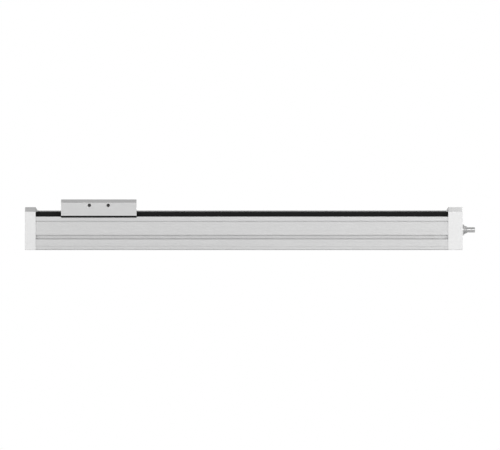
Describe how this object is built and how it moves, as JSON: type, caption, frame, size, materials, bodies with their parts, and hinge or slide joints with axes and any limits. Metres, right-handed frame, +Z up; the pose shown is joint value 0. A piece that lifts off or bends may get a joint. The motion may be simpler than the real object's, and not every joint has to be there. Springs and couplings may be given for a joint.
{
  "type": "ball screw linear axis",
  "caption": "Linear axis: carriage table on a covered aluminium profile, driven by a ball screw with a plain shaft end, white end caps and T-slots along the sides.",
  "frame": {"origin": "middle of the underside of the profile", "axes": "+X along the axis towards the drive shaft, -Y the side seen in the picture, +Z up"},
  "size_m": [0.8398, 0.084, 0.0944],
  "materials": {
    "anodised": "clear anodised, satin",
    "cap_coat": "white powder coat",
    "white_plastic": "white, satin",
    "black_cover": "black, satin",
    "black_rubber": "matt",
    "steel": "ground",
    "black_oxide": "black oxide",
    "cage_brass": "turned",
    "dark_plastic": "dark, matt"
  },
  "bodies": {
    "base": {"base_profile": "anodised", "idle_end_cap": "cap_coat", "drive_end_cap": "cap_coat", "idle_cap_screws": "black_oxide", "drive_cap_screws": "black_oxide", "cover_profile": "black_cover", "idle_cover_clamp": "white_plastic", "drive_cover_clamp": "white_plastic", "front_seal_strip": "black_rubber", "rear_seal_strip": "black_rubber", "front_rail": "steel", "rear_rail": "steel", "idle_buffers": "black_rubber", "drive_buffers": "black_rubber", "drive_bearing_outer_rings": "steel", "bearing_clamp_ring": "black_oxide", "drive_shaft_seal": "black_rubber", "idle_bearing_outer_ring": "steel", "idle_cap_plug": "white_plastic"},
    "carriage": {"carriage_table": "anodised", "carriage_saddle": "anodised", "front_table_lip": "black_rubber", "rear_table_lip": "black_rubber", "table_screws": "black_oxide", "cover_wiper_idle": "black_rubber", "cover_wiper_drive": "black_rubber", "runner_screws": "black_oxide", "ball_nut": "steel", "nut_wipers": "dark_plastic", "nut_screws": "black_oxide", "runner_block_1": "steel", "runner_end_caps_1": "dark_plastic", "runner_block_2": "steel", "runner_end_caps_2": "dark_plastic", "runner_block_3": "steel", "runner_end_caps_3": "dark_plastic", "runner_block_4": "steel", "runner_end_caps_4": "dark_plastic"},
    "screw": {"ball_screw": "steel", "drive_bearing_inner_rings": "steel", "idle_bearing_inner_ring": "steel", "idle_circlip": "black_oxide", "lock_nut": "steel", "shaft_collar": "steel"},
    "drive_cages": {"drive_bearing_cages": "cage_brass"},
    "idle_cage": {"idle_bearing_cage": "cage_brass"}
  },
  "joints": [
    {"name": "carriage_slide", "type": "slide", "parent": "base", "child": "carriage", "axis": [1, 0, 0], "range_m": [-0.033, 0.567]},
    {"name": "screw_spin", "type": "hinge", "parent": "base", "child": "screw", "pos_m": [0, 0, 0.0376], "axis": [1, 0, 0], "continuous": true},
    {"name": "drive_cage_spin", "type": "hinge", "parent": "base", "child": "drive_cages", "pos_m": [0.399, 0, 0.0376], "axis": [1, 0, 0], "continuous": true},
    {"name": "idle_cage_spin", "type": "hinge", "parent": "base", "child": "idle_cage", "pos_m": [-0.39, 0, 0.0376], "axis": [1, 0, 0], "continuous": true}
  ],
  "couplings": [
    {"joint": "screw_spin", "follows": "carriage_slide", "rad_per_m": -628.32},
    {"joint": "drive_cage_spin", "follows": "carriage_slide", "rad_per_m": -257.04},
    {"joint": "idle_cage_spin", "follows": "carriage_slide", "rad_per_m": -263.89}
  ]
}
